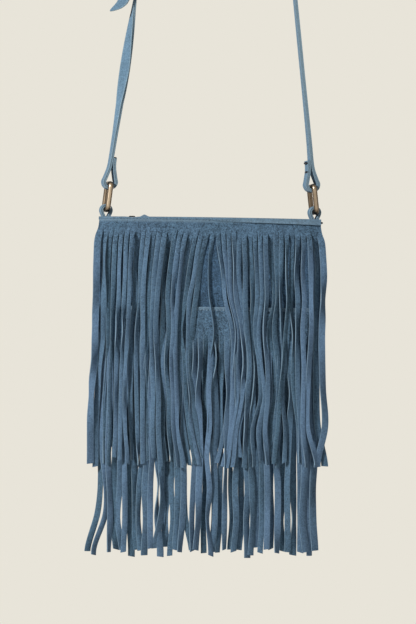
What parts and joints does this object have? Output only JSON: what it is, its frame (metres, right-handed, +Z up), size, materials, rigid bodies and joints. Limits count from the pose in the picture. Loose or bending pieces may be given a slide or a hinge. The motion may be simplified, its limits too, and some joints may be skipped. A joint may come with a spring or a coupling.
{
  "type": "fringed suede shoulder bag",
  "caption": "Flat zipped suede pouch with two tiers of cut fringe, hung from metal links on a knotted suede shoulder strap.",
  "frame": {"origin": "highest inner point of the strap, where it lies over what holds the bag up", "axes": "+X to the bag's right as seen from the front, -Y out of the fringed front, +Z up"},
  "size_m": [0.2416, 0.0402, 1.0148],
  "materials": {
    "suede": "soft napped suede, slate blue",
    "strap_suede": "paler rubbed suede of the strap and tabs",
    "aged_brass": "antique brass, worn satin",
    "dark_metal": "dark plated zip metal",
    "zip_cloth": "woven zip tape, navy"
  },
  "bodies": {
    "strap": {"short_strap": "strap_suede", "long_strap": "strap_suede"},
    "left_link": {"left_link": "aged_brass"},
    "right_link": {"right_link": "aged_brass"},
    "bag": {"front_panel": "suede", "back_panel": "suede", "upper_fringe": "suede", "lower_fringe": "suede", "top_binding": "suede", "zip_tape_front": "zip_cloth", "zip_tape_back": "zip_cloth", "zip_teeth_front": "dark_metal", "zip_teeth_back": "dark_metal", "zip_top_stop": "dark_metal", "zip_bottom_stop": "dark_metal", "left_tab": "strap_suede", "right_tab": "strap_suede"},
    "zip_slider": {"zip_slider": "dark_metal"},
    "zip_pull": {"pull_ring": "dark_metal", "pull_tag": "suede"}
  },
  "joints": [
    {"name": "left_link_swing", "type": "hinge", "parent": "strap", "child": "left_link", "pos_m": [-0.10184, 0, -0.63807], "axis": [0.284, -0.9588, 0], "range_deg": [-20, 20]},
    {"name": "bag_sway", "type": "hinge", "parent": "left_link", "child": "bag", "pos_m": [-0.1049, 0, -0.66409], "axis": [0.284, -0.9588, 0], "range_deg": [-20, 20]},
    {"name": "right_link_swing", "type": "hinge", "parent": "strap", "child": "right_link", "pos_m": [0.10184, 0, -0.63807], "axis": [0.284, -0.9588, 0], "range_deg": [-20.5, 20.5]},
    {"name": "zip_slide", "type": "slide", "parent": "bag", "child": "zip_slider", "axis": [1, 0, 0], "range_m": [0, 0.157]},
    {"name": "pull_flip", "type": "hinge", "parent": "zip_slider", "child": "zip_pull", "pos_m": [-0.0785, 0, -0.67234], "axis": [0, -1, 0], "range_deg": [0, 110]}
  ],
  "couplings": [
    {"joint": "bag_sway", "follows": "left_link_swing", "ratio": -0.9725},
    {"joint": "right_link_swing", "follows": "left_link_swing", "ratio": 1}
  ]
}
